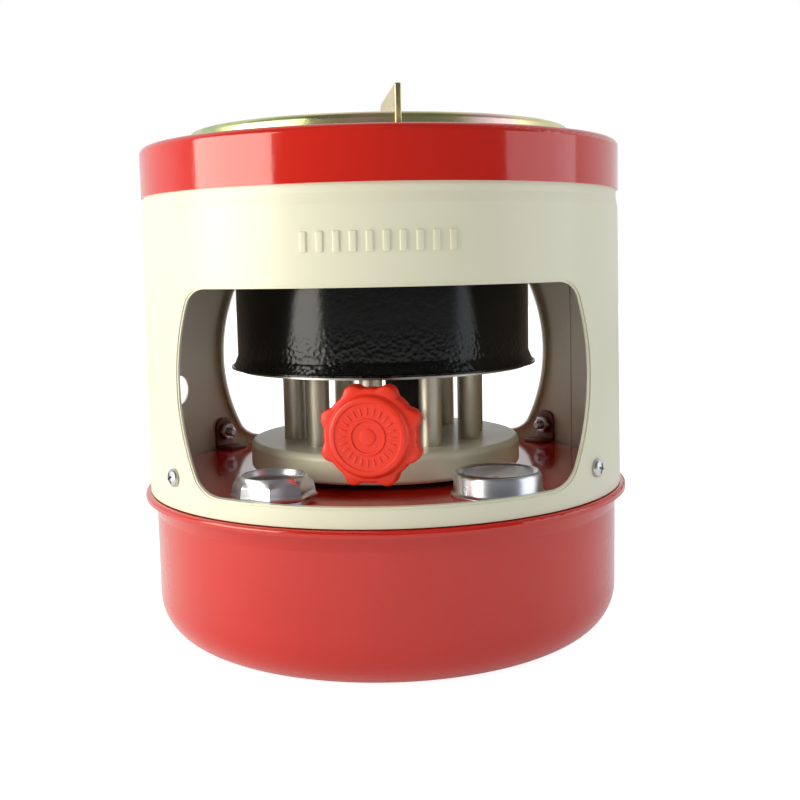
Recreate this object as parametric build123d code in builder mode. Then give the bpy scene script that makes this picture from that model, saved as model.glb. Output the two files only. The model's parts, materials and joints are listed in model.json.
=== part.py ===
from build123d import *
from math import cos, pi, radians, sin
import os

# Wick stove for paraffin: a round tank, a windowed shell round the burner and a lift-off pot plate.
# Millimetres. The origin is on the floor, on the stove's upright axis. +Z is up and the front faces -Y.
# Azimuths are degrees round the axis, from the front (-Y) towards the right (+X).

# ------------------------------------------------------------------ sheet and fits
sheet = 0.8                    # painted and plated sheet steel
fit_gap = 0.3                  # room between pieces that move past each other
running_fit = 0.05             # radial room between the shaft and its bores
half_sheet = sheet / 2

# ------------------------------------------------------------------ tank
tank_radius = 95.7
tank_corner = 17.5             # round between the tank's wall and its bottom
seam_stand_out = 4.3           # rolled seam beyond the tank's wall
seam_radius = tank_radius + seam_stand_out
seam_height = 60.2             # top of the rolled seam
flare_height = 8.2             # the wall opens towards the seam over this height
flare_round = 4.0
deck_rise = 4.5                # deck above the seam
deck_height = seam_height + deck_rise
deck_wall_radius = seam_radius - 4.0
deck_corner = 1.6
deck_lip = 2.5                 # edge of the deck's mouth, turned down
base_ring_radius = 70.0        # inside of the ring that the tank stands on
base_recess = 1.5

# ------------------------------------------------------------------ shell round the burner
shell_gap = 0.4                # shell foot above the seam
shell_foot = seam_height + shell_gap
shell_foot_radius = seam_radius - 2.2
shell_taper = 1.5              # the wall leans in by this much
shell_shoulder_radius = shell_foot_radius - shell_taper
shell_wall_height = 109.9      # foot to shoulder
shell_shoulder_height = shell_foot + shell_wall_height
shell_joggle = 3.5             # height of the step in to the neck
shell_neck_height = shell_shoulder_height + shell_joggle
shell_joggle_round = 2.5

# Windows, the same at the front and at the back
window_bottom = deck_height + 2.5
window_height = 76.2
window_top = window_bottom + window_height
window_mid_height = window_bottom + 36.8
window_mid_half_width = 76.2
window_top_half_width = 69.0
window_bottom_half_width = 67.0
window_top_round = 9.0
window_bottom_round = 11.0
window_lip_depth = 2.4         # edge of the window, turned inwards

# Lighting hole in the shell's left side
side_hole_radius = 6.5
side_hole_height = deck_height + 30.6
side_hole_azimuth = -109.0

# Screws that hold the shell to four tabs on the deck
screw_height = deck_height + 7.8
screw_azimuths = (-54.0, 54.0, 127.0, -127.0)
screw_radius = 2.0
screw_head_radius = 3.5
screw_head_height = 2.0
screw_head_taper = 30          # degrees, for the rounded pan head
screw_head_gap = 0.1           # head clear of the shell's curved wall
screw_length = 9.0
screw_hole_gap = 0.25
nut_across_flats = 7.0
nut_height = 3.2
tab_width = 10.0
tab_top = deck_height + 14.3
tab_foot = 9.0
tab_thickness = 1.5
tab_gap = 0.2                  # tab's flat face clear of the shell's curved wall
tab_corner = 4.5

# Band round the top of the shell
band_stand_out = 0.12          # band beyond the shell's shoulder
band_radius = shell_shoulder_radius + band_stand_out
band_bottom = shell_neck_height + 3.4
band_height = 19.1
band_top = band_bottom + band_height
band_round = 2.2
band_rim_width = 23.02         # band's wall in to its opening
band_opening_radius = band_radius - band_rim_width
band_lip = 3.5                 # edge of the opening, turned down
band_lip_round = 1.2
shell_neck_radius = band_radius - sheet
shell_top = band_top - sheet - band_round

# ------------------------------------------------------------------ wicks, tubes and housing
wick_count = 10
wick_circle = 38.0
wick_first_azimuth = 28.0
wick_angle = wick_first_azimuth - 90
wick_radius = 3.3
wick_travel = 14.0
wick_bottom = 6.0
tube_radius = 4.5
tube_wall = 0.5
deck_mouth_radius = wick_circle + 6.0
housing_radius = wick_circle + 18.3
gasket_thickness = 2.5
gasket_set_back = 1.2          # gasket clear of the deck's mouth
gasket_radius = deck_mouth_radius + 6.0
housing_bottom = deck_height + gasket_thickness
housing_height = 11.3
housing_top = housing_bottom + housing_height
housing_foot_radius = deck_mouth_radius + 2.0
housing_foot_round = 1.0
housing_shoulder_round = 2.2
tube_bottom = housing_top - 5.5
tube_top = housing_top + 33.5
wick_top = tube_top - 8.0

# Wick carrier inside the tank: it stops under the deck's lip at the top of the wicks' travel
carrier_top = deck_height - wick_travel - 5.2
carrier_thickness = 1.5
carrier_outer_radius = wick_circle + 9.0
carrier_inner_radius = wick_circle - 24.0
ferrule_wall = 0.7
ferrule_height = 4.5

# ------------------------------------------------------------------ knob, shaft and rack drive
# The shaft lies level and leans a little to the left.
shaft_turn = 14.0              # degrees between the shaft and the stove's front-to-back line
shaft_height = housing_top + 12.0
shaft_radius = 2.0
shaft_end = 1.0                # shaft beyond the case's back wall
knob_x = -4.8
knob_y = -wick_circle - 42.0
drive_distance = 59.5          # from the knob's middle back to the pinion's middle
gear_module = 0.8
pinion_teeth = 10
tooth_slack = 0.3              # taken off each tooth's width, so that the drive never binds
tooth_lean = 0.25              # each flank leans by this much either way
tooth_root_overlap = 0.2       # teeth start this far inside the rack's back
pinion_root_overlap = 0.4
gear_width = 6.0
rack_back = 2.0
drive_wall = 1.2
drive_corner = 1.0
drive_top = housing_top + 25.5
drive_foot_reach = 3.0
drive_foot_depth = 5.0
drive_foot_thickness = 1.2
pitch_radius = gear_module * pinion_teeth / 2
tooth_pitch = pi * gear_module
rack_root = pitch_radius + 1.25 * gear_module
rack_tip = pitch_radius - 0.85 * gear_module
pinion_root_radius = pitch_radius - 1.2 * gear_module
pinion_tip_radius = pitch_radius + 0.85 * gear_module
drive_left = rack_root + rack_back + fit_gap + drive_wall
drive_right = pinion_tip_radius + fit_gap + drive_wall
drive_width = drive_left + drive_right
drive_depth = gear_width + 2 * fit_gap + 2 * drive_wall
shaft_line = Plane(
    origin=(knob_x, knob_y, shaft_height),
    x_dir=(cos(radians(shaft_turn)), -sin(radians(shaft_turn)), 0),
    z_dir=(-sin(radians(shaft_turn)), -cos(radians(shaft_turn)), 0),
)
drive_centre = shaft_line.offset(-drive_distance)

# Knob
knob_body_radius = 16.8
knob_lobe_radius = 3.5
knob_lobe_circle = 15.5
knob_lobes = 8
knob_thickness = 8.0
knob_face_radius = 14.8
knob_face_rise = 2.6
knob_face_taper = 20           # degrees
knob_skirt_wall = 2.2
knob_hub_radius = 5.0
knob_floor = 3.0
knob_edge_round = 1.0

# ------------------------------------------------------------------ pot plate and supports
ridge_radius = band_opening_radius + 3.6
ridge_top = band_top + 5.9
ridge_width = 4.5
ridge_foot_round = 1.0
ridge_top_round = 1.8
floor_round = 1.5
plate_flange_radius = band_opening_radius + 10.6
plate_floor = band_top - 3.7
plate_slot_excess = 2.0         # the slots for the blades are cut this far past the top of the ridge
ridge_outer = ridge_radius - half_sheet
ridge_inner = ridge_outer - ridge_width
floor_middle = plate_floor - half_sheet
flange_top = band_top + sheet

# Three upright blades let into the ridge
support_count = 3
support_azimuth = 5.0
support_thickness = 2.2
support_top = band_top + 15.0
support_outer_radius = ridge_radius + 2.0
support_inner_radius = 16.5
support_underside = plate_floor + 4.2
support_inner_round = 12.0
support_outer_round = 2.0
support_foot_inset = 2.0       # blade's foot starts this far outside the plate's mouth
support_heel = 1.5

# ------------------------------------------------------------------ burner
burner_seat_top = tube_top - 3.6
burner_lift = 9.0
burner_headroom = 1.0          # left under the pot plate when the burner is raised
drum_bottom = burner_seat_top + fit_gap
drum_top = plate_floor - sheet - burner_lift - burner_headroom
drum_flare_height = 5.0
drum_flare_round = 2.5
sleeve_wall = 0.6
sleeve_gap = 0.5               # between the sleeves and the wick tubes
inner_sleeve_radius = wick_circle - tube_radius - sleeve_gap
outer_sleeve_radius = wick_circle + tube_radius + sleeve_gap + sleeve_wall
drum_radius = outer_sleeve_radius + 16.9
drum_flange_radius = drum_radius + 2.7
burner_seat_radius = drum_radius - 0.5
burner_seat_inner_radius = inner_sleeve_radius - 2.0
plate_mouth_radius = outer_sleeve_radius + 6.4
inner_sleeve_top = drum_top - 2.0
outer_sleeve_top = drum_top + 2.0
sleeve_hole_radius = 1.6
sleeve_hole_columns = 16
sleeve_hole_rows = 4
sleeve_hole_first_row = drum_bottom + 13.3
sleeve_hole_pitch = 14.0
spreader_rise = 4.0
spreader_overhang = 0.5
pin_count = 3
pin_radius = 1.5
pin_height = drum_bottom + 44.3
pin_azimuth = 60.0
pin_head = 1.0
pin_tail = 4.0                 # pin inside the inner sleeve

# ------------------------------------------------------------------ filler
neck_radius = 10.8
neck_wall = 1.0
neck_top = deck_height + 4.5
neck_bottom = deck_height - 4.7
neck_flange_radius = neck_radius + 2.7
cap_gasket_thickness = 1.0
gasket_top = neck_top + cap_gasket_thickness
cap_radius = neck_radius + 4.8
cap_lobe_radius = 3.0
cap_lobe_circle = cap_radius - 1.7
cap_lobes = 8
cap_bottom = deck_height + 1.5
cap_top = gasket_top + 4.1
cap_shoulder = 2.0             # height of the cap's sloping shoulder
cap_shoulder_inset = 0.6
cap_rim_radius = cap_radius - 3.0
cap_dish_radius = cap_rim_radius - 1.4
cap_floor = 0.8
cap_skirt_gap = 0.35
filler_azimuth = -32.7
filler_gap = 3.65              # between the cap's lobes and the wick housing
filler_reach = housing_radius + filler_gap + cap_lobe_circle + cap_lobe_radius
filler_spot = (filler_reach * sin(radians(filler_azimuth)), -filler_reach * cos(radians(filler_azimuth)))

# ------------------------------------------------------------------ fuel gauge
bezel_radius = 17.6
bezel_rim_radius = bezel_radius - 2.0
bezel_sight_radius = bezel_radius - 4.4
bezel_edge_round = 0.6
gauge_azimuth = 33.4
gauge_gap = 1.1                # between the bezel and the wick housing
gauge_reach = housing_radius + gauge_gap + bezel_radius
gauge_spot = (gauge_reach * sin(radians(gauge_azimuth)), -gauge_reach * cos(radians(gauge_azimuth)))
gauge_flange_radius = bezel_radius - 3.0
gauge_flange_thickness = 1.0
gauge_flange_top = deck_height + gauge_flange_thickness
gauge_tube_radius = 9.0
gauge_tube_wall = 0.6
gauge_tube_bottom = 5.0
gauge_slot_width = 4.0
dial_top = deck_height + 3.5
dial_thickness = 0.6
dial_wall = 1.0
glass_thickness = 1.2
glass_top = dial_top + 4.4
bezel_top = glass_top + 1.0
spindle_radius = 1.2
spindle_gap = 0.2              # spindle's foot above the tube's floor
pointer_rise = 0.8             # pointer above the dial
pointer_length = 10.5
pointer_tail = 1.5
pointer_width = 2.4
pointer_thickness = 0.6
float_height = 9.0
float_travel = deck_height - gauge_tube_bottom - 19.7
float_start = 1.0              # float above the tube's floor when the tank is empty

os.makedirs("parts", exist_ok=True)


# ------------------------------------------------------------------ helpers
def save(piece, name):
    """Label a finished piece and write its STEP file."""
    piece.part.label = name
    export_step(piece.part, f"parts/{name}.step")


def formed_sheet(points, radii, thickness=sheet):
    """Draw a bent sheet through the middle of its thickness, in the open sketch."""
    with BuildLine() as middle:
        FilletPolyline(*points, radius=radii)
    trace(middle.line, line_width=thickness)


def facing_out(azimuth, radius, height):
    """Plane at this azimuth whose normal points away from the axis and whose local Y points up."""
    angle = radians(azimuth)
    return Plane(
        origin=(radius * sin(angle), -radius * cos(angle), height),
        x_dir=(cos(angle), sin(angle), 0),
        z_dir=(sin(angle), -cos(angle), 0),
    )


def along_radius(azimuth):
    """Upright plane through the axis: its local X runs outwards at this azimuth, its local Y up."""
    angle = radians(azimuth)
    return Plane(origin=(0, 0, 0), x_dir=(sin(angle), -cos(angle), 0), z_dir=(-cos(angle), -sin(angle), 0))


def shell_radius_at(height):
    """Outer radius of the shell's tapered wall."""
    share = (height - shell_foot) / (shell_shoulder_height - shell_foot)
    return shell_foot_radius + share * (shell_shoulder_radius - shell_foot_radius)


def window_outline():
    """Face with the window's outline: straight top and bottom, bowed sides, round corners."""
    with BuildSketch(Plane.XZ, mode=Mode.PRIVATE) as outline:
        with BuildLine():
            Line((-window_top_half_width, window_top), (window_top_half_width, window_top))
            ThreePointArc(
                (window_top_half_width, window_top),
                (window_mid_half_width, window_mid_height),
                (window_bottom_half_width, window_bottom),
            )
            Line((window_bottom_half_width, window_bottom), (-window_bottom_half_width, window_bottom))
            ThreePointArc(
                (-window_bottom_half_width, window_bottom),
                (-window_mid_half_width, window_mid_height),
                (-window_top_half_width, window_top),
            )
        make_face()
        fillet(outline.vertices().group_by(Axis.Y)[-1], window_top_round)
        fillet(outline.vertices().group_by(Axis.Y)[0], window_bottom_round)
    return outline.sketch


# ------------------------------------------------------------------ tank
base_outer_radius = tank_radius - tank_corner
base_inner_radius = min(base_ring_radius, base_outer_radius - 4 * sheet)
with BuildPart() as tank_pan:
    with BuildSketch(Plane.XZ):
        formed_sheet(
            [
                (0, base_recess + half_sheet),
                (base_inner_radius - base_recess, base_recess + half_sheet),
                (base_inner_radius + base_recess, half_sheet),
                (tank_radius - half_sheet, half_sheet),
                (tank_radius - half_sheet, seam_height - flare_height),
                (seam_radius - 3.5 * sheet, seam_height - 1.5 * sheet),
                (seam_radius - 1.5 * sheet, seam_height - 1.5 * sheet),
            ],
            [base_recess, base_recess, tank_corner - half_sheet, flare_round, sheet],
        )
    revolve(axis=Axis.Z)
save(tank_pan, "tank_pan")

with BuildPart() as tank_deck:
    with BuildSketch(Plane.XZ):
        formed_sheet(
            [
                (deck_mouth_radius, deck_height - deck_lip),
                (deck_mouth_radius, deck_height - half_sheet),
                (deck_wall_radius - half_sheet, deck_height - half_sheet),
                (deck_wall_radius - half_sheet, seam_height - half_sheet),
                (seam_radius - half_sheet, seam_height - half_sheet),
                (seam_radius - half_sheet, seam_height - 3 * sheet),
            ],
            [sheet, deck_corner, sheet, sheet],
        )
    revolve(axis=Axis.Z)
    with Locations((*filler_spot, deck_height)):
        Hole(neck_radius + fit_gap, depth=2 * sheet)
    with Locations((*gauge_spot, deck_height)):
        Hole(gauge_tube_radius + fit_gap, depth=2 * sheet)
save(tank_deck, "tank_deck")

# ------------------------------------------------------------------ shell and its fixings
lip_low = shell_radius_at(window_bottom) - half_sheet
lip_high = shell_radius_at(window_top) - half_sheet
with BuildPart() as window_lips:
    extrude(window_outline(), amount=shell_foot_radius, both=True)
    extrude(offset(window_outline(), -sheet, mode=Mode.PRIVATE),
            amount=shell_foot_radius, both=True, mode=Mode.SUBTRACT)
    with BuildSketch(Plane.XZ):
        with BuildLine():
            Polyline(
                (lip_low, window_bottom - sheet),
                (lip_high, window_top + sheet),
                (lip_high - window_lip_depth, window_top + sheet),
                (lip_low - window_lip_depth, window_bottom - sheet),
                close=True,
            )
        make_face()
    revolve(axis=Axis.Z, mode=Mode.INTERSECT)

with BuildPart() as shell:
    with BuildSketch(Plane.XZ):
        formed_sheet(
            [
                (shell_foot_radius - half_sheet, shell_foot),
                (shell_shoulder_radius - half_sheet, shell_shoulder_height),
                (shell_neck_radius - half_sheet, shell_neck_height),
                (shell_neck_radius - half_sheet, shell_top),
            ],
            [shell_joggle_round, shell_joggle_round],
        )
    revolve(axis=Axis.Z)
    extrude(window_outline(), amount=2 * shell_foot_radius, both=True, mode=Mode.SUBTRACT)
    add(window_lips.part)
    with BuildSketch(facing_out(side_hole_azimuth, shell_foot_radius, side_hole_height)):
        Circle(side_hole_radius)
    extrude(amount=-3 * sheet, mode=Mode.SUBTRACT)
    for azimuth in screw_azimuths:
        with BuildSketch(facing_out(azimuth, shell_foot_radius, screw_height)):
            Circle(screw_radius + screw_hole_gap)
        extrude(amount=-3 * sheet, mode=Mode.SUBTRACT)
save(shell, "shell")

screw_seat = shell_radius_at(screw_height)
tab_face = screw_seat - sheet - tab_gap
with BuildPart() as shell_tabs:
    for azimuth in screw_azimuths:
        side = facing_out(azimuth, tab_face, 0)
        with BuildSketch(side):
            with Locations((0, (deck_height + tab_top) / 2)):
                Rectangle(tab_width, tab_top - deck_height)
            fillet(vertices().group_by(Axis.Y)[-1], tab_corner)
            with Locations((0, screw_height)):
                Circle(screw_radius + screw_hole_gap, mode=Mode.SUBTRACT)
        extrude(amount=-tab_thickness)
        with BuildSketch(side.offset(-tab_thickness)):
            with Locations((0, deck_height + tab_thickness / 2)):
                Rectangle(tab_width, tab_thickness)
        extrude(amount=-tab_foot)
save(shell_tabs, "shell_tabs")

with BuildPart() as shell_screws:
    for azimuth in screw_azimuths:
        seat = facing_out(azimuth, screw_seat + screw_head_gap, screw_height)
        with BuildSketch(seat):
            Circle(screw_head_radius)
        extrude(amount=screw_head_height, taper=screw_head_taper)
        with BuildSketch(seat):
            Circle(screw_radius)
        extrude(amount=-screw_length)
save(shell_screws, "shell_screws")

with BuildPart() as shell_nuts:
    for azimuth in screw_azimuths:
        seat = facing_out(azimuth, tab_face - tab_thickness, screw_height)
        with BuildSketch(seat):
            RegularPolygon(nut_across_flats / 2, 6, major_radius=False)
            Circle(screw_radius + running_fit, mode=Mode.SUBTRACT)
        extrude(amount=-nut_height)
save(shell_nuts, "shell_nuts")

with BuildPart() as top_band:
    with BuildSketch(Plane.XZ):
        formed_sheet(
            [
                (band_radius - half_sheet, band_bottom),
                (band_radius - half_sheet, band_top - half_sheet),
                (band_opening_radius + half_sheet, band_top - half_sheet),
                (band_opening_radius + half_sheet, band_top - band_lip),
            ],
            [band_round, band_lip_round],
        )
    revolve(axis=Axis.Z)
save(top_band, "top_band")

# ------------------------------------------------------------------ wick housing, tubes and burner seat
with BuildPart() as housing_gasket:
    with BuildSketch(Plane.XY.offset(deck_height)):
        Circle(gasket_radius)
        Circle(deck_mouth_radius + gasket_set_back, mode=Mode.SUBTRACT)
    extrude(amount=gasket_thickness)
save(housing_gasket, "housing_gasket")

drive_spot = Location((drive_centre.origin.X, drive_centre.origin.Y), -shaft_turn)
with BuildPart() as wick_housing:
    with BuildSketch(Plane.XZ):
        formed_sheet(
            [
                (housing_foot_radius, housing_bottom + half_sheet),
                (housing_radius - half_sheet, housing_bottom + half_sheet),
                (housing_radius - half_sheet, housing_top - half_sheet),
                (0, housing_top - half_sheet),
            ],
            [housing_foot_round, housing_shoulder_round],
        )
    revolve(axis=Axis.Z)
    with BuildSketch(Plane.XY.offset(housing_top)):
        with PolarLocations(wick_circle, wick_count, start_angle=wick_angle):
            Circle(tube_radius)
        with Locations(drive_spot):
            with Locations(((drive_right - drive_left) / 2, 0)):
                Rectangle(drive_width - 2 * drive_wall, drive_depth - 2 * drive_wall)
    extrude(amount=-2 * sheet, mode=Mode.SUBTRACT)
save(wick_housing, "wick_housing")

with BuildPart() as wick_tubes:
    with BuildSketch(Plane.XY.offset(tube_bottom)):
        with PolarLocations(wick_circle, wick_count, start_angle=wick_angle):
            Circle(tube_radius)
            Circle(tube_radius - tube_wall, mode=Mode.SUBTRACT)
    extrude(amount=tube_top - tube_bottom)
save(wick_tubes, "wick_tubes")

with BuildPart() as burner_seat:
    with BuildSketch(Plane.XY.offset(burner_seat_top)):
        Circle(burner_seat_radius)
        Circle(burner_seat_inner_radius, mode=Mode.SUBTRACT)
        with PolarLocations(wick_circle, wick_count, start_angle=wick_angle):
            Circle(tube_radius, mode=Mode.SUBTRACT)
    extrude(amount=-sheet)
save(burner_seat, "burner_seat")

# ------------------------------------------------------------------ drive: case, shaft, pinion, rack and knob
with BuildPart() as drive_case:
    with BuildSketch(Plane.XY.offset(housing_top)):
        with Locations(drive_spot):
            with Locations(((drive_right - drive_left) / 2, 0)):
                Rectangle(drive_width, drive_depth)
    extrude(amount=drive_top - housing_top)
    fillet(drive_case.edges().filter_by(Axis.Z), drive_corner)
    with BuildSketch(Plane.XY.offset(housing_top)):
        with Locations(drive_spot):
            with Locations(((drive_right - drive_left) / 2, 0)):
                Rectangle(drive_width + 2 * drive_foot_reach, drive_foot_depth)
    extrude(amount=drive_foot_thickness)
    with BuildSketch(Plane.XY.offset(housing_top)):
        with Locations(drive_spot):
            with Locations(((drive_right - drive_left) / 2, 0)):
                Rectangle(drive_width - 2 * drive_wall, drive_depth - 2 * drive_wall)
    extrude(amount=drive_top - housing_top, mode=Mode.SUBTRACT)
    with BuildSketch(drive_centre.offset(-drive_depth)):
        Circle(shaft_radius + running_fit)
    extrude(amount=2 * drive_depth, mode=Mode.SUBTRACT)
save(drive_case, "drive_case")

with BuildPart() as knob_shaft:
    with BuildSketch(drive_centre.offset(-drive_depth / 2 - shaft_end)):
        Circle(shaft_radius)
    extrude(amount=drive_distance + drive_depth / 2 + shaft_end)
save(knob_shaft, "knob_shaft")

flank_middle = tooth_pitch / 4 - tooth_slack / 2
with BuildPart() as pinion:
    with BuildSketch(drive_centre.offset(-gear_width / 2)):
        Circle(pinion_root_radius)
        with PolarLocations(0, pinion_teeth, start_angle=180):
            with BuildLine():
                Polyline(
                    (pinion_root_radius - pinion_root_overlap, -flank_middle - tooth_lean),
                    (pinion_tip_radius, -flank_middle + tooth_lean),
                    (pinion_tip_radius, flank_middle - tooth_lean),
                    (pinion_root_radius - pinion_root_overlap, flank_middle + tooth_lean),
                    close=True,
                )
            make_face()
        Circle(shaft_radius, mode=Mode.SUBTRACT)
    extrude(amount=gear_width)
save(pinion, "pinion")

rack_reach_up = 2.5 * tooth_pitch        # rack above the shaft's height, at rest
rack_teeth_height = wick_travel + 4 * tooth_pitch
rack_tooth_count = round(rack_teeth_height / tooth_pitch)
with BuildPart() as rack:
    with BuildSketch(drive_centre.offset(-gear_width / 2)):
        with Locations((-rack_root - rack_back / 2, (carrier_top - shaft_height + rack_reach_up) / 2)):
            Rectangle(rack_back, rack_reach_up + shaft_height - carrier_top)
        for number in range(rack_tooth_count):
            tooth_height = (1.5 - number) * tooth_pitch
            with BuildLine():
                Polyline(
                    (-rack_root - tooth_root_overlap, tooth_height - flank_middle - tooth_lean),
                    (-rack_tip, tooth_height - flank_middle + tooth_lean),
                    (-rack_tip, tooth_height + flank_middle - tooth_lean),
                    (-rack_root - tooth_root_overlap, tooth_height + flank_middle + tooth_lean),
                    close=True,
                )
            make_face()
    extrude(amount=gear_width)
save(rack, "rack")

with BuildPart() as knob:
    with BuildSketch(shaft_line.offset(-knob_thickness / 2)):
        Circle(knob_body_radius)
        with PolarLocations(knob_lobe_circle, knob_lobes, start_angle=180 / knob_lobes):
            Circle(knob_lobe_radius)
    extrude(amount=knob_thickness)
    fillet(knob.edges().group_by(Axis(shaft_line.origin, shaft_line.z_dir))[-1], knob_edge_round)
    with BuildSketch(shaft_line.offset(knob_thickness / 2)):
        Circle(knob_face_radius)
    extrude(amount=knob_face_rise, taper=knob_face_taper)
    with BuildSketch(shaft_line.offset(-knob_thickness / 2)):
        Circle(knob_body_radius - knob_skirt_wall)
        Circle(knob_hub_radius, mode=Mode.SUBTRACT)
    extrude(amount=knob_thickness - knob_floor, mode=Mode.SUBTRACT)
    with BuildSketch(shaft_line.offset(-knob_thickness / 2)):
        Circle(shaft_radius)
    extrude(amount=knob_thickness / 2, mode=Mode.SUBTRACT)
save(knob, "knob")

# ------------------------------------------------------------------ wick carrier, ferrules and wicks
with BuildPart() as wick_carrier:
    with BuildSketch(Plane.XY.offset(carrier_top - carrier_thickness)):
        Circle(carrier_outer_radius)
        Circle(carrier_inner_radius, mode=Mode.SUBTRACT)
        with PolarLocations(wick_circle, wick_count, start_angle=wick_angle):
            Circle(wick_radius, mode=Mode.SUBTRACT)
    extrude(amount=carrier_thickness)
save(wick_carrier, "wick_carrier")

with BuildPart() as wick_ferrules:
    with BuildSketch(Plane.XY.offset(carrier_top)):
        with PolarLocations(wick_circle, wick_count, start_angle=wick_angle):
            Circle(wick_radius + ferrule_wall)
            Circle(wick_radius, mode=Mode.SUBTRACT)
    extrude(amount=ferrule_height)
save(wick_ferrules, "wick_ferrules")

with BuildPart() as wicks:
    with BuildSketch(Plane.XY.offset(wick_bottom)):
        with PolarLocations(wick_circle, wick_count, start_angle=wick_angle):
            Circle(wick_radius)
    extrude(amount=wick_top - wick_bottom)
save(wicks, "wicks")

# ------------------------------------------------------------------ burner: drum, sleeves, spreader and pins
with BuildPart() as burner_drum:
    with BuildSketch(Plane.XZ):
        formed_sheet(
            [
                (drum_radius - half_sheet, drum_top),
                (drum_radius - half_sheet, drum_bottom + drum_flare_height),
                (drum_flange_radius - 1.5 * sheet, drum_bottom + half_sheet),
                (drum_flange_radius, drum_bottom + half_sheet),
            ],
            [drum_flare_round, sheet],
        )
    revolve(axis=Axis.Z)
    for number in range(pin_count):
        with BuildSketch(facing_out(pin_azimuth + number * 360 / pin_count, 0, pin_height)):
            Circle(pin_radius)
        extrude(amount=2 * drum_radius, mode=Mode.SUBTRACT)
save(burner_drum, "burner_drum")


def perforated_sleeve(outer_radius, top):
    """Upright sleeve on the burner seat, with rows of air holes and the holes for the pins."""
    with BuildPart() as sleeve:
        with BuildSketch(Plane.XY.offset(drum_bottom)):
            Circle(outer_radius)
            Circle(outer_radius - sleeve_wall, mode=Mode.SUBTRACT)
        extrude(amount=top - drum_bottom)
        for row in range(sleeve_hole_rows):
            height = sleeve_hole_first_row + row * sleeve_hole_pitch
            for column in range(sleeve_hole_columns):
                azimuth = (column + row % 2 / 2 + 0.25) * 360 / sleeve_hole_columns
                with BuildSketch(facing_out(azimuth, outer_radius + 1, height)):
                    Circle(sleeve_hole_radius)
                extrude(amount=-sleeve_wall - 2, mode=Mode.SUBTRACT)
        for number in range(pin_count):
            with BuildSketch(facing_out(pin_azimuth + number * 360 / pin_count, 0, pin_height)):
                Circle(pin_radius)
            extrude(amount=2 * drum_radius, mode=Mode.SUBTRACT)
    return sleeve


save(perforated_sleeve(inner_sleeve_radius, inner_sleeve_top), "inner_sleeve")
save(perforated_sleeve(outer_sleeve_radius, outer_sleeve_top), "outer_sleeve")

spreader_edge = inner_sleeve_radius + spreader_overhang
with BuildPart() as flame_spreader:
    with BuildSketch(Plane.XZ):
        with BuildLine():
            crown = (0, inner_sleeve_top + spreader_rise)
            rim = (spreader_edge, inner_sleeve_top + sheet)
            TangentArc(crown, rim, tangent=(1, 0))
            Line(rim, (spreader_edge, inner_sleeve_top))
            Line((spreader_edge, inner_sleeve_top), (0, inner_sleeve_top))
            Line((0, inner_sleeve_top), crown)
        make_face()
    revolve(axis=Axis.Z)
save(flame_spreader, "flame_spreader")

with BuildPart() as burner_pins:
    for number in range(pin_count):
        pin_start = facing_out(pin_azimuth + number * 360 / pin_count, inner_sleeve_radius - pin_tail, pin_height)
        with BuildSketch(pin_start):
            Circle(pin_radius)
        extrude(amount=drum_radius + pin_head - inner_sleeve_radius + pin_tail)
save(burner_pins, "burner_pins")

# ------------------------------------------------------------------ pot plate and its supports
with BuildPart() as pot_plate:
    with BuildSketch(Plane.XZ):
        formed_sheet(
            [
                (plate_flange_radius, band_top + half_sheet),
                (ridge_outer, band_top + half_sheet),
                (ridge_outer, ridge_top - half_sheet),
                (ridge_inner, ridge_top - half_sheet),
                (ridge_inner, floor_middle),
                (plate_mouth_radius, floor_middle),
            ],
            [ridge_foot_round, ridge_top_round, ridge_top_round, floor_round],
        )
    revolve(axis=Axis.Z)
    for number in range(support_count):
        with BuildSketch(along_radius(support_azimuth + number * 360 / support_count)):
            with Locations(((ridge_inner + ridge_outer) / 2, (plate_floor + ridge_top) / 2 + plate_slot_excess)):
                Rectangle(ridge_width + 4 * sheet, ridge_top - plate_floor + 2 * plate_slot_excess)
        extrude(amount=support_thickness / 2 + running_fit, both=True, mode=Mode.SUBTRACT)
save(pot_plate, "pot_plate")

with BuildPart() as pot_supports:
    for number in range(support_count):
        with BuildSketch(along_radius(support_azimuth + number * 360 / support_count)):
            with BuildLine():
                Polyline(
                    (support_outer_radius, flange_top + running_fit),
                    (support_outer_radius, support_top),
                    (support_inner_radius, support_top),
                    (support_inner_radius, support_underside),
                    (plate_mouth_radius + support_foot_inset, support_underside),
                    (plate_mouth_radius + support_foot_inset, plate_floor),
                    (ridge_inner - half_sheet - support_heel, plate_floor),
                    (ridge_inner - half_sheet, flange_top + running_fit),
                    close=True,
                )
            make_face()
            top_corners = vertices().group_by(Axis.Y)[-1].sort_by(Axis.X)
            fillet(top_corners[0], support_inner_round)
            fillet(top_corners[-1], support_outer_round)
        extrude(amount=support_thickness / 2, both=True)
save(pot_supports, "pot_supports")

# ------------------------------------------------------------------ filler neck, gasket and cap
with BuildPart() as filler_neck:
    with BuildSketch(Plane.XY.offset(neck_bottom)):
        with Locations(filler_spot):
            Circle(neck_radius)
    extrude(amount=neck_top - neck_bottom)
    with BuildSketch(Plane.XY.offset(deck_height)):
        with Locations(filler_spot):
            Circle(neck_flange_radius)
    extrude(amount=sheet)
    with BuildSketch(Plane.XY.offset(neck_bottom)):
        with Locations(filler_spot):
            Circle(neck_radius - neck_wall)
    extrude(amount=neck_top - neck_bottom, mode=Mode.SUBTRACT)
save(filler_neck, "filler_neck")

with BuildPart() as cap_gasket:
    with BuildSketch(Plane.XY.offset(neck_top)):
        with Locations(filler_spot):
            Circle(neck_radius)
            Circle(neck_radius - 2.5 * neck_wall, mode=Mode.SUBTRACT)
    extrude(amount=cap_gasket_thickness)
save(cap_gasket, "cap_gasket")

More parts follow.
